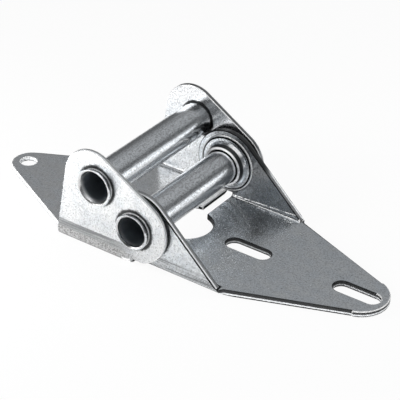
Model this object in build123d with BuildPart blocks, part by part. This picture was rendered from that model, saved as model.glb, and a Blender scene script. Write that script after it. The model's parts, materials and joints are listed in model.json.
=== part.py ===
"""Double-tube garage door hinge, lying open and flat, in millimetres.

X runs along the hinge, Y along its two tubes and Z up from the door.
The origin is on the pivot tube's axis, halfway between the ears.
"""
import os

from build123d import *

# Tubes, rolled from thin sheet for a 7/16 inch roller stem
TUBE_RADIUS = 7.15
TUBE_WALL = 1.15
TUBE_STAND_OUT = 2.4
TUBE_LIP_EASE = 0.4
PIVOT_RIM_RADIUS = 7.65
ROLLER_RIM_RADIUS = 8.25

# Pivot and roller tube, from the door's face and from each other
PIVOT_HEIGHT = 17.25
ROLLER_X = -18.1
ROLLER_Z = 13.15

# Carrier leaf, the outer one, which holds both tubes
CARRIER_HALF_WIDTH = 34.9
CARRIER_SHEET = 2.0
CARRIER_BEND = 1.5
CARRIER_END_X = -2.1
CARRIER_FOOT_X = -38.0
CARRIER_TIP_X = -88.5
CARRIER_TIP_RADIUS = 8.5
CARRIER_HOLE_X = -81.7
CARRIER_TOP_X = -20.6
CARRIER_TOP_Z = 14.2
CARRIER_TOP_RADIUS = 13.0
CARRIER_HEAD_RADIUS = 14.4
CARRIER_CUT_RADIUS = 15.8

# Swing leaf, the inner one, which turns on the pivot tube
SWING_SHEET = 2.7
SWING_BEND = 1.5
SIDE_PLAY = 1.1
SWING_END_X = 3.1
SWING_FOOT_X = 38.6
SWING_FOOT_HALF_WIDTH = 29.4
SWING_FOOT_ROUND = 1.6
SWING_EDGE_X = 39.6
SWING_TIP_X = 92.7
SWING_TIP_RADIUS = 12.5
SWING_TIP_STEP = 0.5
SWING_TIP_ANGLE = 71.0
SWING_HEAD_RADIUS = 14.5
SWING_CUT_RADIUS = 11.3
SLOT_X = (30.4, 79.8)
SLOT_BETWEEN_CENTRES = 12.7
SLOT_RADIUS = 3.75

# Fixings and the pivot's collar
SCREW_HOLE_RADIUS = 3.55
PIVOT_CLEARANCE = 0.08
COLLAR_HEIGHT = 4.0
COLLAR_RADIUS = 8.8
COLLAR_CROWN = 0.6
COLLAR_ROOT = 1.3
COLLAR_MOUTH = 0.45
PAD_RADIUS = 12.4
PAD_HEIGHT = 0.8

UNDER_Z = -PIVOT_HEIGHT
CARRIER_FLAT_HALF_WIDTH = CARRIER_HALF_WIDTH - CARRIER_SHEET - CARRIER_BEND
SWING_HALF_WIDTH = CARRIER_HALF_WIDTH - CARRIER_SHEET - SIDE_PLAY
WALL_TOP = CARRIER_TOP_Z + 2 * CARRIER_TOP_RADIUS


def fold_channel(half_width, sheet, bend, x_start, x_end):
    """Fold a flat sheet into a U channel along X, open at the top."""
    with BuildSketch(Plane.YZ.offset(x_start)) as section:
        with Locations((0, UNDER_Z)):
            Rectangle(2 * half_width, WALL_TOP - UNDER_Z, align=(Align.CENTER, Align.MIN))
        fillet(section.vertices().group_by(Axis.Y)[0], bend + sheet)
        with Locations((0, UNDER_Z + sheet)):
            Rectangle(
                2 * (half_width - sheet),
                WALL_TOP - UNDER_Z,
                align=(Align.CENTER, Align.MIN),
                mode=Mode.SUBTRACT,
            )
        floor = UNDER_Z + sheet
        fillet(section.vertices().filter_by_position(Axis.Y, floor - 0.01, floor + 0.01), bend)
    extrude(section.sketch, amount=x_end - x_start)


def foot_relief(x_end, toward, sheet, bend):
    """Take the folded corner off past the end of the base, so that the head is free."""
    with Locations((x_end, UNDER_Z)):
        Rectangle(
            WALL_TOP,
            2 * (sheet + bend),
            align=(Align.MIN if toward > 0 else Align.MAX, Align.CENTER),
            mode=Mode.SUBTRACT,
        )


with BuildPart() as carrier_leaf:
    fold_channel(CARRIER_HALF_WIDTH, CARRIER_SHEET, CARRIER_BEND, CARRIER_TIP_X, CARRIER_HEAD_RADIUS)
    # side outline: two rounds over the tubes, on a foot, and the flat base
    with BuildSketch(Plane.XZ) as carrier_side:
        with Locations((CARRIER_TOP_X, CARRIER_TOP_Z)):
            Circle(CARRIER_TOP_RADIUS)
        Circle(CARRIER_HEAD_RADIUS)
        with BuildLine():
            Line((CARRIER_FOOT_X, UNDER_Z + CARRIER_SHEET), (CARRIER_END_X, UNDER_Z + CARRIER_SHEET))
        make_hull()
        foot_relief(CARRIER_END_X, 1, CARRIER_SHEET, CARRIER_BEND)
        with Locations((CARRIER_TIP_X, UNDER_Z)):
            Rectangle(CARRIER_END_X - CARRIER_TIP_X, CARRIER_SHEET, align=(Align.MIN, Align.MIN))
    extrude(amount=CARRIER_HALF_WIDTH, both=True, mode=Mode.INTERSECT)
    # plan outline: a taper to the round tip, and the full width under the ears
    with BuildSketch(Plane.XY.offset(UNDER_Z)) as carrier_plan:
        with Locations((CARRIER_TIP_X + CARRIER_TIP_RADIUS, 0)):
            Circle(CARRIER_TIP_RADIUS)
        with Locations((CARRIER_FOOT_X, 0)):
            Rectangle(
                CARRIER_HEAD_RADIUS - CARRIER_FOOT_X,
                2 * CARRIER_FLAT_HALF_WIDTH,
                align=(Align.MIN, Align.CENTER),
            )
        make_hull()
        with Locations((CARRIER_FOOT_X, 0)):
            Rectangle(
                CARRIER_HEAD_RADIUS - CARRIER_FOOT_X,
                2 * CARRIER_HALF_WIDTH,
                align=(Align.MIN, Align.CENTER),
            )
        with Locations((CARRIER_HOLE_X, 0)):
            Circle(SCREW_HOLE_RADIUS, mode=Mode.SUBTRACT)
    extrude(amount=WALL_TOP - UNDER_Z, mode=Mode.INTERSECT)
    # the round cut at the base's free end
    with BuildSketch(Plane.XY.offset(UNDER_Z)) as carrier_cut:
        Circle(CARRIER_CUT_RADIUS)
    extrude(amount=CARRIER_SHEET, mode=Mode.SUBTRACT)
    # both tubes pass tight through both ears
    with BuildSketch(Plane.XZ) as carrier_bores:
        Circle(TUBE_RADIUS)
        with Locations((ROLLER_X, ROLLER_Z)):
            Circle(TUBE_RADIUS)
    extrude(amount=CARRIER_HALF_WIDTH, both=True, mode=Mode.SUBTRACT)

with BuildPart() as swing_leaf:
    fold_channel(SWING_HALF_WIDTH, SWING_SHEET, SWING_BEND, -SWING_HEAD_RADIUS, SWING_TIP_X)
    # side outline: one round on the pivot, sloping to the foot, and the flat base
    with BuildSketch(Plane.XZ) as swing_side:
        Circle(SWING_HEAD_RADIUS)
        with BuildLine():
            Line((SWING_END_X, UNDER_Z), (SWING_EDGE_X, UNDER_Z))
        make_hull()
        foot_relief(SWING_END_X, -1, SWING_SHEET, SWING_BEND)
        with Locations((SWING_END_X, UNDER_Z)):
            Rectangle(SWING_TIP_X - SWING_END_X, SWING_SHEET, align=(Align.MIN, Align.MIN))
    extrude(amount=SWING_HALF_WIDTH, both=True, mode=Mode.INTERSECT)
    # plan outline: the taper, its wider stamped tip, and the full width under the ears
    with BuildSketch(Plane.XY.offset(UNDER_Z)) as swing_plan:
        with Locations((SWING_TIP_X - SWING_TIP_RADIUS, 0)):
            Circle(SWING_TIP_RADIUS - SWING_TIP_STEP)
        with Locations((SWING_FOOT_X, 0)):
            Rectangle(
                SWING_FOOT_X + SWING_HEAD_RADIUS,
                2 * SWING_FOOT_HALF_WIDTH,
                align=(Align.MAX, Align.CENTER),
            )
        make_hull()
        with BuildSketch(mode=Mode.PRIVATE) as ear_plan:
            with Locations((SWING_FOOT_X, 0)):
                Rectangle(
                    SWING_FOOT_X + SWING_HEAD_RADIUS,
                    2 * SWING_HALF_WIDTH,
                    align=(Align.MAX, Align.CENTER),
                )
            fillet(ear_plan.vertices().group_by(Axis.X)[-1], SWING_FOOT_ROUND)
        add(ear_plan.sketch)
        with BuildLine():
            tip = CenterArc(
                (SWING_TIP_X - SWING_TIP_RADIUS, 0), SWING_TIP_RADIUS, -SWING_TIP_ANGLE, 2 * SWING_TIP_ANGLE
            )
            Line(tip @ 1, tip @ 0)
        make_face()
        with Locations(*[(x, 0) for x in SLOT_X]):
            SlotCenterToCenter(SLOT_BETWEEN_CENTRES, 2 * SLOT_RADIUS, mode=Mode.SUBTRACT)
    extrude(amount=WALL_TOP - UNDER_Z, mode=Mode.INTERSECT)
    with BuildSketch(Plane.XY.offset(UNDER_Z)) as swing_cut:
        Circle(SWING_CUT_RADIUS)
    extrude(amount=SWING_SHEET, mode=Mode.SUBTRACT)
    # a raised pad on each ear's inner face, with its hollow outside, and the drawn collar
    for side in (1, -1):
        inner_face = Plane((0, side * (SWING_HALF_WIDTH - SWING_SHEET), 0), x_dir=(1, 0, 0), z_dir=(0, -side, 0))
        with BuildSketch(inner_face):
            Circle(PAD_RADIUS)
        extrude(amount=PAD_HEIGHT, taper=45)
        # the collar rises from the pad on a sloped root and ends in a turned-in crown
        with BuildSketch(inner_face.offset(PAD_HEIGHT)):
            Circle(COLLAR_RADIUS + COLLAR_ROOT)
        extrude(amount=COLLAR_ROOT, taper=45)
        with BuildSketch(inner_face):
            Circle(COLLAR_RADIUS)
        extrude(amount=COLLAR_HEIGHT - COLLAR_CROWN)
        with BuildSketch(inner_face.offset(COLLAR_HEIGHT - COLLAR_CROWN)):
            Circle(COLLAR_RADIUS)
        extrude(amount=COLLAR_CROWN, taper=45)
        outer_face = Plane((0, side * SWING_HALF_WIDTH, 0), x_dir=(1, 0, 0), z_dir=(0, -side, 0))
        with BuildSketch(outer_face):
            Circle(PAD_RADIUS - PAD_HEIGHT)
        extrude(amount=PAD_HEIGHT, taper=45, mode=Mode.SUBTRACT)
    with BuildSketch(Plane.XZ) as swing_bore:
        Circle(TUBE_RADIUS + PIVOT_CLEARANCE)
    extrude(amount=SWING_HALF_WIDTH, both=True, mode=Mode.SUBTRACT)
    mouths = swing_leaf.edges().filter_by(GeomType.CIRCLE).filter_by(
        lambda e: abs(e.radius - TUBE_RADIUS - PIVOT_CLEARANCE) < 0.001
        and abs(abs(e.center().Y) - SWING_HALF_WIDTH + SWING_SHEET + COLLAR_HEIGHT) < 0.001
    )
    chamfer(mouths, COLLAR_MOUTH)


def flared_tube(x, z, rim_radius):
    """Revolve one tube about its axis at x and z, both ends flared outside the ears."""
    ear = CARRIER_HALF_WIDTH
    end = ear + TUBE_STAND_OUT
    bore = TUBE_RADIUS - TUBE_WALL
    with BuildSketch(Plane((x, 0, z))) as section:
        with BuildLine():
            Polyline(
                (bore, 0),
                (TUBE_RADIUS, 0),
                (TUBE_RADIUS, ear),
                (rim_radius, end),
                (rim_radius - TUBE_WALL, end),
                (bore, ear),
                close=True,
            )
        make_face()
        chamfer(section.vertices().group_by(Axis.Y)[-1], TUBE_LIP_EASE)
        mirror(about=Plane.XZ)
    revolve(section.sketch, axis=Axis((x, 0, z), (0, 1, 0)))


with BuildPart() as pivot_tube:
    flared_tube(0, 0, PIVOT_RIM_RADIUS)

with BuildPart() as roller_tube:
    flared_tube(ROLLER_X, ROLLER_Z, ROLLER_RIM_RADIUS)

carrier_leaf.part.label = "carrier_leaf"
swing_leaf.part.label = "swing_leaf"
pivot_tube.part.label = "pivot_tube"
roller_tube.part.label = "roller_tube"

os.makedirs("parts", exist_ok=True)
export_step(carrier_leaf.part, "parts/carrier_leaf.step")
export_step(swing_leaf.part, "parts/swing_leaf.step")
export_step(pivot_tube.part, "parts/pivot_tube.step")
export_step(roller_tube.part, "parts/roller_tube.step")
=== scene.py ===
"""Looks of a double-tube garage door hinge in zinc-plated sheet steel.

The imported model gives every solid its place. This script dresses each of
them: the sheared edges of both leaves are eased and shaded as cut steel, the
tubes' insides are shaded apart from their skins, and every face gets its zinc
finish. Lengths are metres in the part's own frame: X along the hinge, Y along
the tubes, Z up from the door, and the origin in the middle of the pivot tube.
"""

import json
import logging
import math
from dataclasses import dataclass
from enum import Enum
from functools import reduce
from typing import Callable, Sequence

import bmesh
import bpy
from mathutils import Matrix, Vector
from mathutils.bvhtree import BVHTree
from mathutils.kdtree import KDTree

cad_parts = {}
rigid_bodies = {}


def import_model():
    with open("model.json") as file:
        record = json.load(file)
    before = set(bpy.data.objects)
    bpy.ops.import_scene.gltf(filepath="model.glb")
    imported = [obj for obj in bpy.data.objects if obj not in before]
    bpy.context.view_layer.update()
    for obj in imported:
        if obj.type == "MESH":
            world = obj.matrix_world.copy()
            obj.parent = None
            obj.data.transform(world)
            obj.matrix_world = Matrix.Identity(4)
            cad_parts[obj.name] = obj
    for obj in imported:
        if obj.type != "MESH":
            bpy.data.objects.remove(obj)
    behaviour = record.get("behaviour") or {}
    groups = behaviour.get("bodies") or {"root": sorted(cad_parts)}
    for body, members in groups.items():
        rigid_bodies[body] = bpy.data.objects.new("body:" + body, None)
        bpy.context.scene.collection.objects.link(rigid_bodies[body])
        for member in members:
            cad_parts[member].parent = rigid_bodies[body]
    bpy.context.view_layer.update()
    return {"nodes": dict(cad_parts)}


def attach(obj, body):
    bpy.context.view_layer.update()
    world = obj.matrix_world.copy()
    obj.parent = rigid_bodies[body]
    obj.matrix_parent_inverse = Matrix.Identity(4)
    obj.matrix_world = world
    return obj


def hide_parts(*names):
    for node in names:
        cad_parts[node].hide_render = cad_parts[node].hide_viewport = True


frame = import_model()

log = logging.getLogger("hinge")

Colour = Corners = tuple[float, float, float, float]
Pair = tuple[float, float]
Spot = tuple[float, float, float]
Stops = tuple[Pair, ...]
Socket = bpy.types.NodeSocket

MM = 0.001
UNDER_Z = -17.25 * MM  # the underside of both bases
INNER_BEND = 1.5 * MM  # inner radius of the folds
WELD = 0.002 * MM  # corners nearer than this are one
SLACK = 0.1 * MM  # room for a face's middle beside a limit

# Distances from the pivot's axis
MOUTH = 7.6 * MM  # inside the collars' bore
PAD_RING = (10.8 * MM, 12.0 * MM, 13.2 * MM)  # inside, top and foot of the raised pad's rim
SEAT = 10.0 * MM  # under a tube's flare, from that tube's axis

# The same for two radii, then a distance from the middle
CROWN = (7.9 * MM, 8.5 * MM, 25.2 * MM)  # the outer edge of a collar's end face
COLLAR = (0.0, 9.6 * MM, 28.2 * MM)  # the whole collar, to its root


def grey(value: float, warm: float = 0.0) -> Colour:
    """Return a linear grey of that value, a little warmer or cooler."""
    return (value * (1 + warm), value, value * (1 - warm), 1.0)


class Body(Enum):
    """The two bodies that the pivot joins."""

    CARRIER = "carrier"
    SWING = "swing"


class Slot(Enum):
    """The record's material slots."""

    CARRIER = "carrier_steel"
    SWING = "swing_steel"
    TUBE = "tube_steel"


class Patch(Enum):
    """The kinds of surface on a leaf, in the order of its material slots."""

    SKIN = 0
    CUT = 1
    EASE = 2


# Node tools


class Graph:
    """A thin builder for one node tree."""

    def __init__(self, tree: bpy.types.NodeTree) -> None:
        """Keep the tree that nodes are added to."""
        self.tree = tree

    def node(
        self, kind: str, inputs: dict[str | int, object] | None = None, **values: object
    ) -> bpy.types.Node:
        """Add a node, set its properties and fill its inputs.

        Args:
            kind: the node's type, without the ShaderNode prefix.
            inputs: sockets, numbers or colours, by the input's name or number.
            values: properties of the node by name.

        Returns:
            The new node.
        """
        made = self.tree.nodes.new("ShaderNode" + kind)
        for name, value in values.items():
            setattr(made, name, value)
        for title, source in (inputs or {}).items():
            self.wire(source, made.inputs[title])
        return made

    def wire(self, source: object, target: Socket) -> None:
        """Join a socket to an input, or set the input if source is a value.

        Args:
            source: an output socket, a number or a colour.
            target: the input socket.
        """
        if isinstance(source, Socket):
            self.tree.links.new(source, target)
        else:
            target.default_value = source

    def math(self, operation: str, *inputs: object, clamp: bool = False) -> Socket:
        """Add a Math node for sockets or numbers; clamp keeps the result from 0 to 1."""
        made = self.node("Math", dict(enumerate(inputs)), operation=operation, use_clamp=clamp)
        return made.outputs[0]

    def times(self, *factors: object) -> Socket:
        """Multiply two or more sockets or numbers."""
        return reduce(lambda product, factor: self.math("MULTIPLY", product, factor), factors)

    def plus(self, base: object, value: object, factor: object) -> Socket:
        """Add a value times a factor to a base."""
        return self.math("MULTIPLY_ADD", value, factor, base)

    def toward(self, first: Socket, second: Socket, direction: Pair) -> Socket:
        """Measure along a direction in the plane of two axes."""
        return self.plus(self.times(first, direction[0]), second, direction[1])

    def distance(self, first: Socket, second: Socket) -> Socket:
        """Measure the distance from where two axes are zero."""
        return self.math("SQRT", self.plus(self.times(first, first), second, second))

    def ramp(self, value: object, low: float, high: float) -> Socket:
        """Map a value from low..high to 0..1 with a soft start and end."""
        inputs = {"Value": value, "From Min": low, "From Max": high}
        return self.node("MapRange", inputs, interpolation_type="SMOOTHSTEP").outputs["Result"]

    def window(self, value: object, opens: Pair, closes: Pair) -> Socket:
        """Mask a range: opens is its start and where it is full, closes is full and end."""
        return self.times(self.ramp(value, *opens), self.ramp(value, closes[1], closes[0]))

    def mix(self, factor: object, first: object, second: object) -> Socket:
        """Mix two colours; factor is the share of the second."""
        return self.node("Mix", {0: factor, 6: first, 7: second}, data_type="RGBA").outputs[2]

    def tint(self, colour: object, shade: Colour, mask: Socket, strength: float) -> Socket:
        """Lay a shade over a colour by a mask and a strength."""
        return self.mix(self.times(mask, strength), colour, shade)

    def bands(self, value: object, stops: Stops, soft: bool = False) -> Socket:
        """Turn a value from 0 to 1 into a grey by stops.

        Args:
            value: the input socket.
            stops: values with the grey there, in rising order.
            soft: True for a soft start and end of each step.

        Returns:
            The grey.
        """
        made = self.node("ValToRGB", {"Fac": value})
        made.color_ramp.interpolation = "EASE" if soft else "LINEAR"
        elements = made.color_ramp.elements
        for index, (spot, strength) in enumerate(stops):
            element = elements[index] if index < 2 else elements.new(spot)
            element.position = spot
            element.color = grey(strength, -0.02)
        return made.outputs["Color"]

    def noise(self, where: Socket, scale: object, detail: float, rough: float) -> Socket:
        """Add a noise texture with scale waves per metre and detail octaves."""
        inputs = {"Vector": where, "Scale": scale, "Detail": detail, "Roughness": rough}
        return self.node("TexNoise", inputs).outputs["Fac"]

    def place(self, where: Socket, scale: Spot = (1, 1, 1), shift: Spot = (0, 0, 0)) -> Socket:
        """Stretch and shift a coordinate."""
        inputs = {"Vector": where, "Scale": scale, "Location": shift}
        return self.node("Mapping", inputs).outputs["Vector"]

    def axes(self, where: Socket) -> Sequence[Socket]:
        """Split a coordinate into its X, Y and Z."""
        return list(self.node("SeparateXYZ", {0: where}).outputs)

    def packed(self, *parts: object) -> Socket:
        """Join X, Y and Z to a coordinate."""
        return self.node("CombineXYZ", dict(enumerate(parts))).outputs[0]


class ShaderGroup:
    """A shared effect as a node group with named sockets.

    Attributes:
        name: the group's name.
        takes: its number inputs beside the Vector, with their defaults.
        gives: its outputs, all numbers.
    """

    name = "effect"
    takes: dict[str, float] = {}
    gives: tuple[str, ...] = ()

    def __init__(self) -> None:
        """Build the group's tree once."""
        self.tree = bpy.data.node_groups.new(self.name, "ShaderNodeTree")
        new_socket, number = self.tree.interface.new_socket, "NodeSocketFloat"
        new_socket("Vector", in_out="INPUT", socket_type="NodeSocketVector")
        for title, value in self.takes.items():
            new_socket(title, in_out="INPUT", socket_type=number).default_value = value
        for title in self.gives:
            new_socket(title, in_out="OUTPUT", socket_type=number)
        start = self.tree.nodes.new("NodeGroupInput")
        end = self.tree.nodes.new("NodeGroupOutput")
        graph = Graph(self.tree)
        for title, result in zip(self.gives, self.build(graph, start.outputs)):
            graph.wire(result, end.inputs[title])

    def build(self, graph: Graph, start: bpy.types.NodeOutputs) -> Sequence[Socket]:
        """Fill the tree and return what it gives; each effect has its own."""
        raise NotImplementedError

    def use(self, graph: Graph, where: Socket, **values: float) -> bpy.types.NodeOutputs:
        """Place the group, with numbers by input name in small letters and underscores."""
        numbers = {title.replace("_", " ").capitalize(): value for title, value in values.items()}
        return graph.node("Group", {"Vector": where, **numbers}, node_tree=self.tree).outputs


class ZincSpeckle(ShaderGroup):
    """Cloudy zinc with fine grain and a few dark pits; sizes in millimetres."""

    name = "zinc speckle"
    takes = {"Cloud size": 6.0, "Grain size": 0.5, "Pit share": 0.1}
    gives = ("Cloud", "Grain", "Pit", "Height")
    grains_apart = 3.2
    pit_edge = 8.0
    pit_depth = 1.5

    def build(self, graph: Graph, start: bpy.types.NodeOutputs) -> Sequence[Socket]:
        """Fill the tree with clouds, grain, pits and their height.

        Args:
            graph: the group's graph.
            start: the group's inputs, as output sockets.

        Returns:
            The results, in the order of gives.
        """
        where, size = start["Vector"], start["Grain size"]
        per_cloud = graph.math("DIVIDE", 1.0 / MM, start["Cloud size"])
        cloud = graph.noise(where, per_cloud, 3.0, 0.55)
        grain = graph.noise(where, graph.math("DIVIDE", 1.0 / MM, size), 2.0, 0.6)
        per_pit = graph.math("DIVIDE", 1.0 / MM, graph.times(size, self.grains_apart))
        spread = graph.node("TexVoronoi", {"Vector": where, "Scale": per_pit}, feature="F1")
        reach = graph.times(start["Pit share"], graph.ramp(cloud, 0.40, 0.62))
        pit = graph.math("SUBTRACT", reach, spread.outputs["Distance"])
        pit = graph.math("MULTIPLY", pit, self.pit_edge, clamp=True)
        height = graph.math("SUBTRACT", grain, graph.times(pit, self.pit_depth))
        return cloud, grain, pit, height


class DrawnLines(ShaderGroup):
    """Long fine lines from rolling or drawing the steel; sizes in millimetres."""

    name = "drawn lines"
    takes = {"Along": 30.0, "Across": 0.4}
    gives = ("Line",)

    def build(self, graph: Graph, start: bpy.types.NodeOutputs) -> Sequence[Socket]:
        """Fill the tree: noise stretched along the vector's X.

        Args:
            graph: the group's graph.
            start: the group's inputs, as output sockets.

        Returns:
            The lines' strength.
        """
        per_along = graph.math("DIVIDE", 1.0 / MM, start["Along"])
        per_across = graph.math("DIVIDE", 1.0 / MM, start["Across"])
        factors = zip(graph.axes(start["Vector"]), (per_along, per_across, per_across))
        stretched = graph.packed(*(graph.times(part, factor) for part, factor in factors))
        return (graph.ramp(graph.noise(stretched, 1.0, 3.0, 0.6), 0.3, 0.7),)


@dataclass
class Effects:
    """The shared groups, built once for all materials."""

    speckle: ZincSpeckle
    lines: DrawnLines


class Surface(Graph):
    """A new metal material on Object coordinates, with the shared effects at hand."""

    def __init__(self, name: str, effects: Effects) -> None:
        """Start the material.

        Args:
            name: the material's name.
            effects: the shared node groups.
        """
        self.material = bpy.data.materials.new(name)
        self.material.use_nodes = True
        super().__init__(self.material.node_tree)
        self.shader = self.tree.nodes["Principled BSDF"]
        self.where = self.node("TexCoord").outputs["Object"]
        self.effects = effects

    def speckle(self, cloud: float, grain: float, pits: float) -> bpy.types.NodeOutputs:
        """Place the zinc speckle, with sizes in millimetres and the pits' share."""
        sizes = {"cloud_size": cloud, "grain_size": grain, "pit_share": pits}
        return self.effects.speckle.use(self, self.where, **sizes)

    def lines(self, where: Socket, along: float, across: float) -> Socket:
        """Place the drawn lines, with their length and width in millimetres."""
        return self.effects.lines.use(self, where, along=along, across=across)["Line"]

    def finish(
        self, colour: Socket, rough: Socket, metallic: object, *bumps: tuple[Socket, float]
    ) -> None:
        """Feed the shader, with a chained Bump node for each height.

        Args:
            colour: the base colour.
            rough: the roughness.
            metallic: how metallic it is, as a socket or number.
            bumps: heights as sockets, each with its depth in metres.
        """
        inputs, normal = self.shader.inputs, None
        self.wire(colour, inputs["Base Color"])
        self.wire(rough, inputs["Roughness"])
        self.wire(metallic, inputs["Metallic"])
        for height, depth in bumps:
            bump = self.node("Bump", {"Height": height, "Distance": depth})
            if normal is not None:
                self.wire(normal, bump.inputs["Normal"])
            normal = bump.outputs["Normal"]
        self.wire(normal, inputs["Normal"])


# Finishes


@dataclass(frozen=True)
class Finish:
    """A surface finish; each kind paints its own material.

    Attributes:
        name: the material's name.
    """

    name: str

    def build(self, effects: Effects) -> bpy.types.Material:
        """Make the material.

        Args:
            effects: the shared node groups.

        Returns:
            The new material.
        """
        made = Surface(self.name, effects)
        self.paint(made)
        return made.material

    def paint(self, made: Surface) -> None:
        """Wire the finish into a new material; each kind has its own."""
        raise NotImplementedError


@dataclass(frozen=True)
class ZincFinish(Finish):
    """Bright zinc plate over rolled sheet.

    Attributes:
        light: base colour on a clean spot.
        dark: base colour in a cloudy spot.
        outside: distance from the middle beyond which a face is the ears' outside.
        brake: Z below which the ears' outside was wiped by the brake.
        brake_fade: X where that band starts to show, and where it is full.
        bend: Z below which the outside of the bend is painted darker, a painted reflection of the
            shadowed floor, with dark sparkle in its grain.
        shaded_far_edge: X and Y of the back taper's outward direction, and its distance from the
            pivot, where a painted shade line runs along the edge.
        brake_strength: how strongly the brake's band darkens the plate.
        rough: roughness on a clean spot.
        haze: how much rougher a cloudy spot is.
        wave: height of the sheet's slow waves, in metres.
        mottle: how strongly the fine grain darkens the plate.
        fold: the back fold's Y on the base, along which two painted highlights run, or None.
        glint_from: X on the base from which its end is painted white, a painted reflection, or
            None.
        seats: X and Z of each tube that is pressed in, with a ring of painted shadow round it.
        grease_and_shade: distances from the middle between which a collar's wall is greasy and in
            painted shade, or None.
    """

    light: Colour
    dark: Colour
    outside: float
    brake: float
    brake_fade: Pair
    bend: float
    shaded_far_edge: Spot
    brake_strength: float = 1.0
    rough: float = 0.20
    haze: float = 0.10
    wave: float = 0.05 * MM
    mottle: float = 0.45
    fold: float | None = None
    glint_from: float | None = None
    seats: Stops = ()
    grease_and_shade: Pair | None = None

    GRAIN_HEIGHT = 0.010 * MM
    WAVE_LENGTH = 26 * MM
    BEND_SOFT = 0.4 * MM
    FOOT_SHADE_OPENS = (UNDER_Z + 0.1 * MM, UNDER_Z + 0.4 * MM)
    FOOT_SHADE_CLOSES = (UNDER_Z + 1.7 * MM, UNDER_Z + 2.3 * MM)
    FOOT_DEPTH = 2.4 * MM
    END_TOP = UNDER_Z + 2.6 * MM
    BASE_TOP = UNDER_Z + 2.9 * MM
    FOLD_TOP = UNDER_Z + 3.2 * MM
    HIGHLIGHT_LINE = (UNDER_Z + 3.1 * MM, 0.2 * MM)
    HIGHLIGHT_RISE = -0.048
    LIP_LIT_SIDE = (-0.6, 0.8)
    ROOT_GLINT_SIDE = (0.477, 0.879)

    def paint(self, made: Surface) -> None:
        """Layer clouds, grain and pits, then the wear, the painted shade and the painted
        highlights, each where it lies.

        Args:
            made: the new material.
        """
        x, y, z = made.axes(made.where)
        spots = made.speckle(7.0, 0.7, 0.16)
        roll = made.lines(made.where, 40.0, 0.5)
        cloudy = made.ramp(spots["Cloud"], 0.36, 0.66)
        fine = made.ramp(spots["Grain"], 0.46, 0.62)
        colour = made.mix(cloudy, self.light, self.dark)
        colour = made.tint(colour, grey(0.36), fine, self.mottle)
        colour = made.tint(colour, grey(0.55), roll, 0.05)
        colour = made.tint(colour, grey(0.10), spots["Pit"], 0.8)
        rough = made.plus(self.rough, cloudy, self.haze)
        rough = made.plus(rough, fine, 0.08)
        band, outside = self._brake_band(made)
        colour = made.mix(band, colour, grey(0.26, -0.02))
        rough = made.plus(rough, band, 0.12)
        # painted shade: the bend's outside is darker, standing in for the shadowed floor it
        # mirrors, with dark sparkle in its grain
        bend = made.ramp(z, self.bend + self.BEND_SOFT, self.bend - self.BEND_SOFT)
        bend_shade = made.tint(grey(0.66), grey(0.22, 0.01), fine, 0.85)
        colour = made.mix(made.times(bend, outside), colour, bend_shade)
        # painted contact shadow: a dark, matt and rough band along the bottom of the ears' outside
        wide = made.math("GREATER_THAN", made.math("ABSOLUTE", y), self.outside - self.FOOT_DEPTH)
        foot = made.times(made.window(z, self.FOOT_SHADE_OPENS, self.FOOT_SHADE_CLOSES), wide)
        colour = made.tint(colour, grey(0.10, 0.03), foot, 0.85)
        # painted shadow round each pressed-in tube: its flare's shade and reflection on the ear
        for axis_x, axis_z in self.seats:
            ring = self._seat_shade_ring(made, axis_x, axis_z)
            colour = made.tint(colour, grey(0.03), ring, 0.94)
            rough = made.plus(rough, ring, 0.2)
        # painted shade along the back taper's rolled-over edge on the base
        along, across, distance = self.shaded_far_edge
        out = made.toward(x, y, (along, across))
        edge = made.ramp(out, distance - 0.62 * MM, distance - 0.42 * MM)
        edge = made.times(edge, made.math("LESS_THAN", z, self.BASE_TOP))
        colour = made.tint(colour, grey(0.03), edge, 0.75)
        # painted highlights, mixed in white and matt below
        bright = 0.0
        if self.fold is not None:
            bright = self._fold_highlights(made)
        # painted reflection: the base's end is painted white
        if self.glint_from is not None:
            painted_glint = made.ramp(x, self.glint_from - 0.6 * MM, self.glint_from + 0.6 * MM)
            bright = made.times(painted_glint, made.math("LESS_THAN", z, self.END_TOP), 0.85)
        if self.grease_and_shade is not None:
            # painted shade on the ear round the collar, then grease and painted shade on the
            # collar's wall
            greasy_shade, lip, drawn = self._collar_wall(made)
            colour = made.tint(colour, grey(0.04), drawn, 0.64)
            colour = made.tint(colour, grey(0.02), greasy_shade, 0.93)
            rough = made.plus(rough, greasy_shade, 0.15)
            bright = made.math("MAXIMUM", bright, lip)
        colour = made.mix(bright, colour, grey(1.0))
        # the painted contact shadow and the painted highlights are matt
        rough = made.plus(rough, foot, 0.5)
        metallic = made.math("SUBTRACT", 1.0, made.math("MAXIMUM", bright, foot))
        slow = made.noise(made.where, 1.0 / self.WAVE_LENGTH, 1.0, 0.4)
        grain = self.GRAIN_HEIGHT
        bumps = (slow, self.wave), (spots["Height"], grain), (roll, grain * 0.5)
        made.finish(colour, rough, metallic, *bumps)

    def _seat_shade_ring(self, made: Surface, axis_x: float, axis_z: float) -> Socket:
        """Mask the painted shadow round a tube's flare on the ear, darkest where the tube meets it.

        Args:
            made: the material.
            axis_x: X of the tube's axis.
            axis_z: Z of the tube's axis.

        Returns:
            The ring's mask.
        """
        x, y, z = made.axes(made.place(made.where, shift=(-axis_x, 0, -axis_z)))
        ragged = made.noise(made.where, 1.0 / (1.6 * MM), 3.0, 0.6)
        radius = made.plus(made.distance(x, z), ragged, 1.4 * MM)
        side = made.math("GREATER_THAN", made.math("ABSOLUTE", y), self.outside)
        ring = made.times(made.ramp(radius, 10.0 * MM, 9.0 * MM), side)
        return made.math("MAXIMUM", ring, made.ramp(radius, 9.0 * MM, 8.5 * MM))

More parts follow.
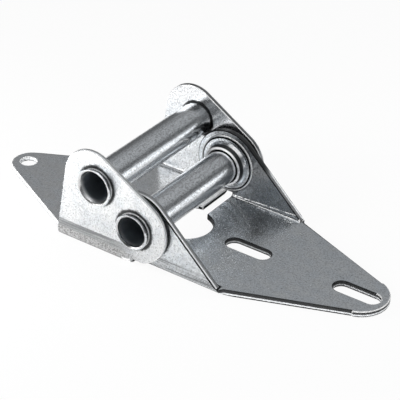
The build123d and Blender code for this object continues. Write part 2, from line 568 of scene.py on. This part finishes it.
    def _collar_wall(self, made: Surface) -> tuple[Socket, Socket, Socket]:
        """Mask the parts of the collars round the pivot.

        Args:
            made: the material.

        Returns:
            The masks of the greasy wall in painted shade, of the painted highlights on the lip
            and the root, and of the painted shade on the ear round it.
        """
        x, y, z = made.axes(made.where)
        radius = made.distance(x, z)
        out = made.math("ABSOLUTE", y)
        low, high = self.grease_and_shade
        # grease and painted shade on the collar's wall
        near = made.ramp(radius, 9.9 * MM, 9.3 * MM)
        wall = made.window(out, (low, low + 0.2 * MM), (high - 0.5 * MM, high))
        # painted highlight on the collar's lip, brightest on its upper left
        lip = made.times(made.ramp(out, low + 0.2 * MM, low), near)
        away = made.math("DIVIDE", made.toward(x, z, self.LIP_LIT_SIDE), radius)
        lip = made.times(lip, made.plus(0.4, made.ramp(away, -0.2, 0.5), 0.6))
        # painted glint on the collar's root, on its upper right
        facing = made.math("DIVIDE", made.toward(x, z, self.ROOT_GLINT_SIDE), radius)
        root = made.window(radius, (8.9 * MM, 9.2 * MM), (9.8 * MM, 10.4 * MM))
        root = made.times(root, made.math("GREATER_THAN", y, high - 0.3 * MM))
        painted_glint = made.times(made.ramp(facing, 0.90, 0.98), root, 0.8)
        # painted shade on the back ear's inside beyond the pad, towards +X
        drawn = made.window(radius, (11.9 * MM, 12.3 * MM), (13.5 * MM, 34 * MM))
        drawn = made.times(drawn, made.math("GREATER_THAN", y, high))
        drawn = made.times(drawn, made.ramp(x, -12 * MM, -5 * MM))
        return made.times(wall, near), made.math("MAXIMUM", lip, painted_glint), drawn

    def _fold_highlights(self, made: Surface) -> Socket:
        """Mask the two painted highlights along the back fold.

        Args:
            made: the material.

        Returns:
            The lines' mask.
        """
        x, y, z = made.axes(made.where)
        low = made.math("COMPARE", y, self.fold, 0.16 * MM)
        low = made.times(low, made.math("LESS_THAN", z, self.FOLD_TOP))
        high = made.math("COMPARE", made.plus(z, x, self.HIGHLIGHT_RISE), *self.HIGHLIGHT_LINE)
        high = made.times(high, made.math("GREATER_THAN", y, self.fold))
        broken = made.ramp(made.noise(made.where, 1.0 / (1.1 * MM), 2.0, 0.6), 0.34, 0.50)
        span = made.window(x, (2 * MM, 5 * MM), (32 * MM, 36 * MM))
        return made.times(made.math("MAXIMUM", low, high), span, broken)

    def _brake_band(self, made: Surface) -> tuple[Socket, Socket]:
        """Mask the streaked band that the press brake left beside the bend.

        Args:
            made: the material.

        Returns:
            The band's mask, and the mask of the ears' outside where it shows.
        """
        x, y, z = made.axes(made.where)
        outside = made.math("GREATER_THAN", made.math("ABSOLUTE", y), self.outside)
        ragged = made.noise(made.where, 1.0 / (1.4 * MM), 2.0, 0.6)
        edge = made.plus(self.brake - 0.25 * MM, ragged, 0.5 * MM)
        band = made.ramp(made.math("SUBTRACT", edge, z), -0.15 * MM, 0.15 * MM)
        streak = made.lines(made.where, 24.0, 0.9)
        weight = made.plus(0.40 * self.brake_strength, streak, 0.55 * self.brake_strength)
        scratched = made.noise(made.place(made.where, (0.03, 1.0, 2.2)), 1.0 / MM, 2.0, 0.5)
        scratched = made.times(made.ramp(scratched, 0.51, 0.58), 0.9)
        weight = made.math("MAXIMUM", weight, scratched)
        shown = made.times(outside, made.ramp(x, *self.brake_fade))
        return made.times(band, weight, shown), shown


@dataclass(frozen=True)
class CutFinish(Finish):
    """The sheared edge of a sheet: a rolled lip, a burnish band and a rough fracture band,
    with painted light: a painted contact shadow at the underside, painted shade at the
    ears' corners, and the burnish band in matt white as a painted reflection of the floor.

    Attributes:
        sheet: the sheet's thickness.
        half_width: from the middle to the ears' outside.
        base_bands: share of the thickness from the underside, with the grey there.
        ear_bands: share of the thickness from the ears' outside, with the grey there.
        shaded_end: X of the base's free end, how far from it the dark bottom band reaches
            higher, and by what share: painted shade where the end faces into the gap.
        back_shade: Z above which the back ear's edge is darker, and how much.
    """

    sheet: float
    half_width: float
    base_bands: Stops
    ear_bands: Stops
    shaded_end: Spot
    back_shade: Pair

    EAR_SHARE = 1.15

    def paint(self, made: Surface) -> None:
        """Band the edge through the sheet, painted light included, with the bands' borders ragged.

        Args:
            made: the new material.
        """
        x, y, z = made.axes(made.where)
        base = made.math("DIVIDE", made.math("SUBTRACT", z, UNDER_Z), self.sheet)
        wide = made.math("ABSOLUTE", y)
        ear = made.math("DIVIDE", made.math("SUBTRACT", self.half_width, wide), self.sheet)
        on_ear = made.math("GREATER_THAN", base, self.EAR_SHARE)
        ragged = made.plus(-0.04, made.noise(made.where, 1.0 / (0.9 * MM), 2.0, 0.6), 0.08)
        # painted shade: near the free end the dark bottom band reaches higher
        end_x, reach, lift = self.shaded_end
        near = made.math("COMPARE", x, end_x, reach)
        base_with_end_shade = made.math("SUBTRACT", base, made.times(near, lift))
        # the dark bottom band is a painted contact shadow, the white bands a painted reflection of
        # the floor
        base_grey = made.bands(made.math("ADD", base_with_end_shade, ragged), self.base_bands)
        ear_grey = made.bands(made.math("ADD", ear, ragged), self.ear_bands)
        dark_top, strength = self.back_shade
        top = made.ramp(z, dark_top - 2 * MM, dark_top + 2 * MM)
        back = made.times(top, made.math("GREATER_THAN", y, 0.0))
        ear_grey = made.tint(ear_grey, grey(0.02), back, strength)
        colour = made.mix(on_ear, base_grey, ear_grey)
        spots = made.speckle(3.0, 0.35, 0.3)
        fine = made.ramp(spots["Grain"], 0.40, 0.66)
        colour = made.tint(colour, grey(0.05), fine, 0.22)
        # the pale bands turn matt, so the lamps light them like the mirrored floor
        metallic = made.plus(1.0, made.times(colour, colour), -0.85)
        made.finish(colour, made.plus(0.30, fine, 0.15), metallic, (spots["Height"], 0.02 * MM))


@dataclass(frozen=True)
class TubeFinish(Finish):
    """Drawn tube skin with lines around it, plated more thinly than the leaves.

    Attributes:
        axis_x: X of the tube's axis.
        axis_z: Z of the tube's axis.
    """

    axis_x: float
    axis_z: float

    def paint(self, made: Surface) -> None:
        """Layer clouds, grain, drawn lines and pits.

        Args:
            made: the new material.
        """
        spots = made.speckle(5.0, 0.65, 0.16)
        x, y, z = made.axes(made.place(made.where, shift=(-self.axis_x, 0, -self.axis_z)))
        drawn = made.lines(made.packed(y, x, z), 30.0, 0.45)
        cloudy = made.ramp(spots["Cloud"], 0.34, 0.68)
        fine = made.ramp(spots["Grain"], 0.46, 0.62)
        colour = made.mix(cloudy, grey(1.0, -0.03), grey(0.92, -0.03))
        colour = made.tint(colour, grey(0.28, -0.02), fine, 0.50)
        colour = made.tint(colour, grey(0.36), drawn, 0.20)
        colour = made.tint(colour, grey(0.10), spots["Pit"], 0.7)
        bumps = (spots["Height"], 0.012 * MM), (drawn, 0.010 * MM)
        made.finish(colour, made.plus(0.13, cloudy, 0.10), 1.0, *bumps)


@dataclass(frozen=True)
class BoreFinish(Finish):
    """The tube's inside: bare dark steel that the plating hardly reached.

    Attributes:
        ear: distance from the middle where the plated lip begins.
    """

    ear: float = 36.2 * MM

    def paint(self, made: Surface) -> None:
        """Grade the bare bore to its plated lip.

        Args:
            made: the new material.
        """
        out = made.math("ABSOLUTE", made.axes(made.where)[1])
        plated = made.ramp(out, self.ear - 1.8 * MM, self.ear + 0.4 * MM)
        spots = made.speckle(2.5, 0.4, 0.2)
        bare = made.mix(spots["Grain"], grey(0.20, -0.10), grey(0.45, -0.10))
        bright = made.mix(spots["Grain"], grey(1.0), grey(0.62))
        colour = made.mix(plated, bare, bright)
        made.finish(colour, made.plus(0.62, plated, -0.38), 1.0, (spots["Height"], 0.02 * MM))


@dataclass(frozen=True)
class EaseFinish(Finish):
    """The eased corner of a cut edge, polished by handling and painted near-white and part matt as
    a painted highlight.
    """

    def paint(self, made: Surface) -> None:
        """Mix worn and clean spots, with a few pits.

        Args:
            made: the new material.
        """
        spots = made.speckle(4.0, 0.35, 0.15)
        worn = made.ramp(spots["Cloud"], 0.38, 0.60)
        colour = made.mix(worn, grey(0.95), grey(0.70))
        colour = made.tint(colour, grey(0.12), spots["Pit"], 0.6)
        made.finish(colour, made.plus(0.24, worn, 0.16), 0.4, (spots["Height"], 0.012 * MM))


# Mesh tools


def pick_only(obj: bpy.types.Object) -> None:
    """Deselect everything, then select and activate one object.

    Args:
        obj: the object.
    """
    for other in bpy.context.scene.objects:
        other.select_set(False)
    obj.select_set(True)
    bpy.context.view_layer.objects.active = obj


def copy_node(node: str, change: Callable[[Vector], None] | None = None) -> bpy.types.Object:
    """Copy a CAD node's mesh into a new object, merged and with its flats whole.

    Args:
        node: the CAD node's name.
        change: moves a corner of the copy, or None.

    Returns:
        The new object at the origin.
    """
    name = f"{node}_plated"
    mesh = frame["nodes"][node].data.copy()
    mesh.name = name
    mesh.materials.clear()
    if change is not None:
        for vertex in mesh.vertices:
            change(vertex.co)
    made = bpy.data.objects.new(name, mesh)
    bpy.context.scene.collection.objects.link(made)
    pick_only(made)
    bpy.ops.object.mode_set(mode="EDIT")
    bpy.ops.mesh.select_all(action="SELECT")
    bpy.ops.mesh.customdata_custom_splitnormals_clear()
    bpy.ops.mesh.remove_doubles(threshold=WELD)
    bpy.ops.mesh.dissolve_limited(angle_limit=math.radians(0.4))
    bpy.ops.mesh.select_all(action="DESELECT")
    bpy.ops.object.mode_set(mode="OBJECT")
    for polygon in mesh.polygons:
        polygon.material_index = 0
    return made


def select_edges(obj: bpy.types.Object, wanted: Callable[[bmesh.types.BMEdge], bool]) -> int:
    """Select the edges of the active object that a test accepts, in edit mode.

    Args:
        obj: the object, already in edit mode.
        wanted: the test of an edge.

    Returns:
        How many edges are selected.
    """
    grid = bmesh.from_edit_mesh(obj.data)
    bpy.ops.mesh.select_all(action="DESELECT")
    bpy.ops.mesh.select_mode(type="EDGE")
    count = 0
    for edge in grid.edges:
        if wanted(edge):
            edge.select_set(True)
            count += 1
    grid.select_flush_mode()
    bmesh.update_edit_mesh(obj.data)
    return count


def is_sharp(edge: bmesh.types.BMEdge, degrees: float) -> bool:
    """Tell whether an edge is convex or concave by more than that angle."""
    return len(edge.link_faces) == 2 and edge.calc_face_angle(0.0) > math.radians(degrees)


def from_pivot(spot: Vector) -> float:
    """Return a spot's distance from the pivot's axis."""
    return math.hypot(spot.x, spot.z)


def in_ring(edge: bmesh.types.BMEdge, low: float, high: float, end: float) -> bool:
    """Tell whether an edge lies between two radii round the pivot, nearer the middle than end."""
    spots = [vertex.co for vertex in edge.verts]
    return all(low < from_pivot(spot) < high and abs(spot.y) < end for spot in spots)


def surface_of(obj: bpy.types.Object) -> BVHTree:
    """Keep an object's faces as they are now.

    Args:
        obj: the object.

    Returns:
        Their search tree.
    """
    grid = bmesh.new()
    grid.from_mesh(obj.data)
    tree = BVHTree.FromBMesh(grid)
    grid.free()
    return tree


def sharp_spots(obj: bpy.types.Object, degrees: float, step: float) -> KDTree:
    """Return a search tree of spots along the object's sharp edges.

    Args:
        obj: the object, in edit mode.
        degrees: edges sharper than this count.
        step: the spots' distance from each other.

    Returns:
        The balanced tree.
    """
    spots: list[Vector] = []
    for edge in bmesh.from_edit_mesh(obj.data).edges:
        if is_sharp(edge, degrees):
            start, end = (vertex.co for vertex in edge.verts)
            count = max(1, math.ceil((end - start).length / step))
            spots += [start.lerp(end, index / count) for index in range(count + 1)]
    tree = KDTree(len(spots))
    for index, spot in enumerate(spots):
        tree.insert(spot, index)
    tree.balance()
    return tree


def gather_strays(obj: bpy.types.Object, corners: KDTree, reach: float) -> int:
    """Bring back the corners that easing slid far along a flat.

    Args:
        obj: the eased object, in edit mode.
        corners: spots along the edges that were eased.
        reach: the largest distance from an eased edge that is left alone.

    Returns:
        How many corners moved.
    """
    grid = bmesh.from_edit_mesh(obj.data)
    moved = 0
    for vertex in grid.verts:
        eased = any(face.material_index == Patch.EASE.value for face in vertex.link_faces)
        if eased and corners.find(vertex.co)[2] > reach:
            nearest = min(vertex.link_edges, key=lambda edge: edge.calc_length())
            vertex.co = nearest.other_vert(vertex).co
            moved += 1
    bmesh.update_edit_mesh(obj.data)
    bpy.ops.mesh.select_all(action="SELECT")
    bpy.ops.mesh.remove_doubles(threshold=WELD)
    return moved


def pull_back(obj: bpy.types.Object, steel: BVHTree, reach: float) -> int:
    """Put the corners that easing threw off the steel back on it.

    Args:
        obj: the eased object.
        steel: the surface before easing.
        reach: the largest distance from it that is left alone.

    Returns:
        How many corners moved.
    """
    moved = 0
    for vertex in obj.data.vertices:
        spot, _, _, distance = steel.find_nearest(vertex.co)
        if distance > reach:
            vertex.co = spot
            moved += 1
    obj.data.update()
    return moved


def finish_shading(obj: bpy.types.Object) -> None:
    """Shade smooth by angle and let the flats keep their normals.

    Args:
        obj: the piece.
    """
    pick_only(obj)
    bpy.ops.object.shade_smooth_by_angle(angle=math.radians(35.0))
    weighted = obj.modifiers.new("flats", "WEIGHTED_NORMAL")
    weighted.keep_sharp = True
    weighted.weight = 100
    bpy.ops.object.modifier_apply(modifier=weighted.name)


# The leaves


@dataclass
class Leaf:
    """One stamped and folded leaf, from its CAD solid.

    Attributes:
        node: the CAD node that it replaces.
        body: the body that it rides on.
        slot: the record's material slot; not used.
        ease: radius of the eased sheared edges.
        bright_tip: X beyond which the base's eased corners take the eased finish, polish with a
            painted highlight.
        skin: the finish of its faces.
        cut: the finish of its sheared edges.
        crown: how much wider each collar's end face is drawn.
        shoulder: X and Y where the fold ends, then where the taper starts, or None.
    """

    node: str
    body: Body
    slot: Slot
    ease: float
    bright_tip: float
    skin: ZincFinish
    cut: CutFinish
    crown: float = 1.0
    shoulder: Corners | None = None

    FOLD_END_X = (35.6 * MM, 38.7 * MM)
    FOLD_END_Y = 26 * MM
    SMALLEST_BEND = 4e-6
    BEHIND_X = -24 * MM
    BEHIND_Z = -13 * MM

    def build(self, effects: Effects, worn: bpy.types.Material) -> bpy.types.Object:
        """Model and dress the leaf.

        Args:
            effects: the shared node groups.
            worn: the material of the eased corners.

        Returns:
            The finished piece.
        """
        leaf = copy_node(self.node, self._trim)
        for material in (self.skin.build(effects), self.cut.build(effects), worn):
            leaf.data.materials.append(material)
        self._mark_cuts(leaf)
        self._ease_edges(leaf)
        finish_shading(leaf)
        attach(leaf, self.body.value)
        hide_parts(self.node)
        return leaf

    def _trim(self, spot: Vector) -> None:
        """Move a corner of the shoulder in to the line from the fold to the taper.

        Args:
            spot: the corner's place, changed here.
        """
        if self.shoulder is None:
            return
        fold_x, fold_y, taper_x, taper_y = self.shoulder
        if spot.x > fold_x and abs(spot.y) > taper_y:
            share = (abs(spot.y) - taper_y) / (fold_y - taper_y)
            spot.x = min(spot.x, taper_x + (fold_x - taper_x) * share)

    def _mark_cuts(self, leaf: bpy.types.Object) -> None:
        """Give the sheared faces their own material.

        Args:
            leaf: the leaf's object.
        """
        low = UNDER_Z + self.cut.sheet
        bend_top = low + INNER_BEND
        inner = self.cut.half_width - self.cut.sheet
        for polygon in leaf.data.polygons:
            normal, centre = polygon.normal, polygon.center
            flat_part = centre.z < low + SLACK / 2 and abs(normal.z) < 0.3
            ear_part = centre.z > bend_top - SLACK and abs(normal.y) < 0.3
            outer = abs(centre.y) > inner - SLACK / 2
            fold_end = low <= centre.z <= bend_top and abs(normal.x) > 0.95
            mouth = abs(normal.y) < 0.9 and from_pivot(centre) < MOUTH and self.crown > 1
            sheared = (flat_part and not self._is_bend(polygon)) or (ear_part and outer)
            # the back fold's cut end takes the eased finish, a painted highlight
            if fold_end and centre.y > 0:
                polygon.material_index = Patch.EASE.value
            elif fold_end or sheared or mouth:
                polygon.material_index = Patch.CUT.value

    def _is_bend(self, polygon: bpy.types.MeshPolygon) -> bool:
        """Tell whether a face is part of the outside of the fold."""
        outside = abs(polygon.center.y) > self.cut.half_width - self.cut.sheet
        return outside and abs(polygon.normal.x) < 0.05 and polygon.area > self.SMALLEST_BEND

    def _is_fold_end(self, spot: Vector) -> bool:
        """Tell whether a spot is where the fold ends beside the taper."""
        low, high = self.FOLD_END_X
        return self.shoulder is not None and spot.y > self.FOLD_END_Y and low < spot.x < high

    def _eased_patch(self, polygon: bpy.types.MeshPolygon) -> Patch:
        """Choose what an eased face shows by where it lies.

        Args:
            polygon: the eased face.

        Returns:
            The kind of surface.
        """
        centre, normal = polygon.center, polygon.normal
        sheet, half_width = self.cut.sheet, self.cut.half_width
        radius = from_pivot(centre)
        inner, top, foot = PAD_RING
        pad = radius < foot and abs(centre.y) < half_width - sheet + SLACK
        # the fold's end and the pad's rim take the eased finish, a painted highlight
        if self._is_fold_end(centre) or (pad and radius > top and abs(normal.y) < 0.93):
            return Patch.EASE
        flat = abs(normal.z) > 0.97 and centre.z < UNDER_Z + sheet + SLACK
        behind = centre.x < self.BEHIND_X and centre.z > self.BEHIND_Z
        seated = abs(centre.y) < half_width - sheet / 2 and any(
            math.hypot(centre.x - x, centre.z - z) < SEAT for x, z in self.skin.seats
        )
        if flat or seated or behind or (pad and not inner <= radius <= top):
            return Patch.SKIN
        return Patch.CUT if centre.x < self.bright_tip else Patch.EASE

    def _ease_edges(self, leaf: bpy.types.Object) -> None:
        """Round the corners that shearing and handling left on the steel.

        Args:
            leaf: the leaf's object.
        """
        bpy.ops.object.mode_set(mode="EDIT")
        select_edges(leaf, lambda edge: in_ring(edge, *CROWN))
        bpy.ops.transform.resize(value=(self.crown, 1, self.crown), center_override=(0, 0, 0))
        bpy.ops.object.mode_set(mode="OBJECT")
        steel = surface_of(leaf)
        bpy.ops.object.mode_set(mode="EDIT")
        corners = sharp_spots(leaf, 40.0, 0.4 * MM)
        count = select_edges(leaf, lambda edge: is_sharp(edge, 40.0) and not in_ring(edge, *COLLAR))
        eased = {"clamp_overlap": False, "material": Patch.EASE.value}
        bpy.ops.mesh.bevel(offset=self.ease, segments=2, affect="EDGES", **eased)
        strays = gather_strays(leaf, corners, 4 * self.ease)
        select_edges(leaf, lambda edge: is_sharp(edge, 25.0) and in_ring(edge, *COLLAR))
        bpy.ops.mesh.bevel(offset=0.14 * MM, segments=2, affect="EDGES", clamp_overlap=True)
        bpy.ops.mesh.select_all(action="DESELECT")
        bpy.ops.object.mode_set(mode="OBJECT")
        for polygon in leaf.data.polygons:
            if polygon.material_index == Patch.EASE.value:
                polygon.material_index = self._eased_patch(polygon).value
        pulled = pull_back(leaf, steel, 0.45 * self.ease)
        counts = (count, strays, pulled)
        log.info("%s: %d edges eased, %d corners gathered, %d pulled back", leaf.name, *counts)


# The tubes


@dataclass
class Tube:
    """One rolled tube with both ends flared over the ears.

    Attributes:
        node: the CAD node that it replaces.
        finish: the finish of its outside.
    """

    node: str
    finish: TubeFinish

    def build(self, effects: Effects, bore: bpy.types.Material) -> bpy.types.Object:
        """Dress the tube, with its inside apart.

        Args:
            effects: the shared node groups.
            bore: the material of its inside.

        Returns:
            The finished piece.
        """
        tube = copy_node(self.node)
        tube.data.materials.append(self.finish.build(effects))
        tube.data.materials.append(bore)
        axis = Vector((self.finish.axis_x, 0, self.finish.axis_z))
        for polygon in tube.data.polygons:
            spoke = polygon.center - axis
            spoke.y = 0
            if polygon.normal.dot(spoke.normalized()) < -0.3:
                polygon.material_index = 1
        finish_shading(tube)
        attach(tube, Body.CARRIER.value)
        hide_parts(self.node)
        return tube


# The studio


@dataclass(frozen=True)
class Camera:
    """The photograph's camera.

    Attributes:
        azimuth: degrees round from looking along +Y.
        elevation: degrees above the horizon.
        roll: degrees about its own axis.
        distance: from the aim, in metres.
        aim: the point at the picture's middle.
        focal: focal length in pixels of a 400 pixel wide picture.
    """

    azimuth: float = 33.650
    elevation: float = 31.955
    roll: float = 2.119
    distance: float = 0.666266
    aim: Spot = (0.003162, 0.005199, -0.005)
    focal: float = 1661.943

    def build(self) -> None:
        """Make the camera and set it as the scene's."""
        turn, rise, roll = (math.radians(a) for a in (self.azimuth, self.elevation, self.roll))
        level = math.cos(rise)
        back = Vector((math.sin(turn) * level, -math.cos(turn) * level, math.sin(rise)))
        right = Vector((math.cos(turn), math.sin(turn), 0))
        up = back.cross(right)
        across = right * math.cos(roll) + up * math.sin(roll)
        upright = up * math.cos(roll) - right * math.sin(roll)
        data = bpy.data.cameras.new("studio camera")
        data.sensor_width = 36.0
        data.lens = self.focal * data.sensor_width / 400
        data.clip_start, data.clip_end = 0.05, 20.0
        made = bpy.data.objects.new("studio camera", data)
        spot = Matrix.Translation(Vector(self.aim) + back * self.distance)
        made.matrix_world = spot @ Matrix((across, upright, back)).transposed().to_4x4()
        bpy.context.scene.collection.objects.link(made)
        bpy.context.scene.camera = made


@dataclass(frozen=True)
class Lamp:
    """A soft rectangular lamp.

    Attributes:
        name: the lamp's name.
        place: its middle.
        size: its width and height in metres.
        power: its power in watts.
        aim: the point that it faces.
        mirrored: True if reflections show it.
    """

    name: str
    place: Spot
    size: Pair
    power: float
    aim: Spot = (0.0, 0.0, 0.0)
    mirrored: bool = True

    def build(self) -> None:
        """Add the lamp to the scene."""
        data = bpy.data.lights.new(self.name, "AREA")
        data.shape = "RECTANGLE"
        data.size, data.size_y = self.size
        data.energy = self.power
        lamp = bpy.data.objects.new(self.name, data)
        lamp.location = self.place
        lamp.rotation_mode = "QUATERNION"
        lamp.rotation_quaternion = (Vector(self.aim) - lamp.location).to_track_quat("-Z", "Y")
        lamp.visible_glossy = self.mirrored
        bpy.context.scene.collection.objects.link(lamp)


@dataclass(frozen=True)
class Studio:
    """A plain white floor under a soft sky, with a low card at the left and soft lamps.

    Attributes:
        floor_radius: radius of the floor, in metres.
        floor_glow: share of the floor's white that is its own to the camera.
        floor_mirrored: the same share to reflections.
        sky: the sky's strengths to reflections, by elevation.
        horizon: strengths of its bright side behind the object on the right.
        bright_side: the direction of that side, from above.
        bright_reach: the sky's share of that direction where it starts, and where it is full.
        shade: strengths of its dark side over the card at the left front.
        dark_side: the direction of that side, from above.
        dark_reach: as bright_reach, for the dark side.
        sky_light: the sky's strength on matt surfaces.
        lamps: the lamps.
    """

    floor_radius: float = 0.30
    floor_glow: float = 0.94
    floor_mirrored: float = 0.04
    sky: Stops = (
        (-90, 0.14), (12, 0.13), (22, 0.16), (29, 0.24), (36, 0.28),
        (44, 0.34), (56, 0.55), (66, 0.8), (80, 1.0),
    )
    horizon: Stops = (
        (-90, 1.35), (5, 1.35), (10, 0.60), (15, 0.20), (26, 0.12),
        (30, 0.18), (36, 0.33), (44, 0.42), (60, 0.6), (80, 1.0),
    )
    bright_side: Pair = (0.766, 0.643)
    bright_reach: Pair = (0.76, 0.93)
    shade: Stops = (
        (-90, 0.14), (12, 0.10), (22, 0.045), (48, 0.035), (60, 0.3), (70, 0.8), (80, 1.0),
    )
    dark_side: Pair = (-0.559, -0.829)
    dark_reach: Pair = (0.68, 0.85)
    sky_light: float = 0.26
    lamps: tuple[Lamp, ...] = (
        Lamp("top softbox", (-0.05, 0.05, 0.90), (0.60, 0.60), 0.6),
        Lamp(
            "left card", (-0.2405, -0.197, 0.0975), (0.195, 0.187), 0.235,
            aim=(0.0075, -0.01, 0.0975),
        ),
        Lamp("front fill", (0.25, -0.38, 0.04), (0.10, 0.10), 1.05, mirrored=False),
        Lamp("left key", (-0.15, -0.13, 0.10), (0.10, 0.10), 0.44, mirrored=False),
        Lamp("back key", (0.17, 0.17, 0.12), (0.10, 0.10), 0.25, mirrored=False),
    )

    def build(self) -> None:
        """Make the floor, the world and the lamps."""
        bpy.context.scene.view_settings.view_transform = "Standard"
        self._floor()
        self._world()
        for lamp in self.lamps:
            lamp.build()

    def _floor(self) -> None:
        """Make a floor that is white to the camera, with a soft shadow."""
        bpy.ops.object.select_all(action="DESELECT")
        below = UNDER_Z - 0.02 * MM
        bpy.ops.mesh.primitive_circle_add(
            vertices=128, radius=self.floor_radius, fill_type="NGON", location=(0, 0, below)
        )
        floor = bpy.context.object
        floor.name = "studio_floor"
        made = bpy.data.materials.new("white floor")
        made.use_nodes = True
        graph = Graph(made.node_tree)
        matt = made.node_tree.nodes["Principled BSDF"]
        matt.inputs["Roughness"].default_value = 1.0
        matt.inputs["Specular IOR Level"].default_value = 0.0
        matt.inputs["Base Color"].default_value = grey(0.80)
        white = graph.node("Emission", {"Color": grey(1.0)})
        seen = graph.node("LightPath").outputs
        mirrored = graph.math("MAXIMUM", seen["Is Glossy Ray"], seen["Is Transmission Ray"])
        glow = graph.times(seen["Is Camera Ray"], self.floor_glow)
        glow = graph.plus(glow, mirrored, self.floor_mirrored)
        mixed = graph.node("MixShader", {0: glow, 1: matt.outputs[0], 2: white.outputs[0]})
        graph.wire(mixed.outputs[0], made.node_tree.nodes["Material Output"].inputs["Surface"])
        floor.data.materials.append(made)

    def _world(self) -> None:
        """Make a sky that is white to the camera and graded to reflections."""
        world = bpy.data.worlds.new("studio sky")
        bpy.context.scene.world = world
        world.use_nodes = True
        graph = Graph(world.node_tree)
        x, y, z = graph.axes(graph.node("TexCoord").outputs["Generated"])
        rise = graph.math("ADD", graph.math("ARCSINE", z), math.pi / 2)
        share = graph.math("DIVIDE", rise, math.pi)
        sky, horizon, shade = (
            graph.bands(share, [((degrees + 90) / 180, tone) for degrees, tone in stops], soft=True)
            for stops in (self.sky, self.horizon, self.shade)
        )
        level = graph.math("SUBTRACT", 1.0, graph.math("POWER", z, 2.0))
        level = graph.math("MAXIMUM", graph.math("POWER", level, 0.5), 0.05)
        for strengths, side, reach in (
            (horizon, self.bright_side, self.bright_reach),
            (shade, self.dark_side, self.dark_reach),
        ):
            facing = graph.math("DIVIDE", graph.toward(x, y, side), level)
            sky = graph.mix(graph.ramp(facing, *reach), sky, strengths)
        seen = graph.node("LightPath").outputs
        sky = graph.mix(seen["Is Diffuse Ray"], sky, grey(self.sky_light))
        sky = graph.mix(seen["Is Camera Ray"], sky, grey(1.0))
        graph.wire(sky, world.node_tree.nodes["Background"].inputs["Color"])


# The hinge


class Hinge:
    """The whole hinge, built leaf by leaf and tube by tube."""

    ROLLER_AXIS = (-18.1 * MM, 13.15 * MM)

    def __init__(self) -> None:
        """Set out the four pieces with their finishes."""
        self.leaves = (self._carrier_leaf(), self._swing_leaf())
        self.tubes = (
            Tube("pivot_tube", TubeFinish("pivot tube zinc", 0.0, 0.0)),
            Tube("roller_tube", TubeFinish("roller tube zinc", *self.ROLLER_AXIS)),
        )

    def _carrier_leaf(self) -> Leaf:
        """Set out the outer leaf, which both tubes are pressed into.

        Returns:
            The leaf.
        """
        return Leaf(
            "carrier_leaf", Body.CARRIER, Slot.CARRIER, ease=0.30 * MM, bright_tip=-100.0 * MM,
            skin=ZincFinish(
                "carrier zinc", light=grey(1.0, -0.01), dark=grey(0.90, -0.03), outside=34.6 * MM,
                brake=-8.2 * MM, brake_fade=(6 * MM, -10 * MM), bend=-11.8 * MM,
                shaded_far_edge=(-0.461, 0.887, 45.38 * MM), glint_from=-6.0 * MM,
                seats=((0.0, 0.0), self.ROLLER_AXIS),
            ),
            cut=CutFinish(
                "carrier cut edge", sheet=2.0 * MM, half_width=34.9 * MM,
                base_bands=((0.0, 0.02), (0.20, 0.03), (0.26, 0.95), (1.0, 0.95)),
                ear_bands=(
                    (0.0, 0.03), (0.13, 0.04), (0.18, 1.0), (0.40, 0.95),
                    (0.48, 0.55), (0.90, 0.50), (0.95, 0.04), (1.0, 0.02),
                ),
                shaded_end=(-2.1 * MM, 2.0 * MM, 0.50),
                back_shade=(-30.0 * MM, 0.62),
            ),
        )

    @staticmethod
    def _swing_leaf() -> Leaf:
        """Set out the inner leaf, whose collars turn on the pivot tube.

        Returns:
            The leaf.
        """
        return Leaf(
            "swing_leaf", Body.SWING, Slot.SWING, ease=0.40 * MM, bright_tip=84.3 * MM,
            skin=ZincFinish(
                "swing zinc", light=grey(1.0, -0.03), dark=grey(0.90, -0.05), outside=31.5 * MM,
                brake=-9.8 * MM, brake_fade=(-6 * MM, 6 * MM), bend=-14.4 * MM,
                shaded_far_edge=(0.3539, 0.9353, 40.88 * MM), brake_strength=0.35, rough=0.21,
                haze=0.06, wave=0.03 * MM, mottle=0.5, fold=28.42 * MM,
                grease_and_shade=(25.15 * MM, 27.6 * MM),
            ),
            cut=CutFinish(
                "swing cut edge", sheet=2.7 * MM, half_width=31.8 * MM,
                base_bands=(
                    (0.0, 0.02), (0.22, 0.03), (0.27, 1.0), (0.46, 1.0),
                    (0.53, 0.10), (0.90, 0.08), (1.0, 0.04),
                ),
                ear_bands=(
                    (0.0, 0.02), (0.13, 0.03), (0.18, 1.0), (0.38, 1.0),
                    (0.46, 0.46), (0.86, 0.42), (0.92, 0.04), (1.0, 0.03),
                ),
                shaded_end=(3.1 * MM, 9.0 * MM, 1.0),
                back_shade=(2.0 * MM, 0.85),
            ),
            crown=1.055,
            shoulder=(36.6 * MM, 31.8 * MM, 38.6 * MM, 29.1 * MM),
        )

    def build(self) -> list[bpy.types.Object]:
        """Build every piece.

        Returns:
            The finished pieces.
        """
        effects = Effects(ZincSpeckle(), DrawnLines())
        worn = EaseFinish("eased edge").build(effects)
        bore = BoreFinish("bare bore").build(effects)
        made = [leaf.build(effects, worn) for leaf in self.leaves]
        return made + [tube.build(effects, bore) for tube in self.tubes]


def main() -> None:
    """Build the hinge and its studio."""
    logging.basicConfig(level=logging.INFO, format="%(name)s: %(message)s")
    for piece in Hinge().build():
        log.info("%s: %d faces", piece.name, len(piece.data.polygons))
    Studio().build()
    Camera().build()


if __name__ == "__main__":
    main()
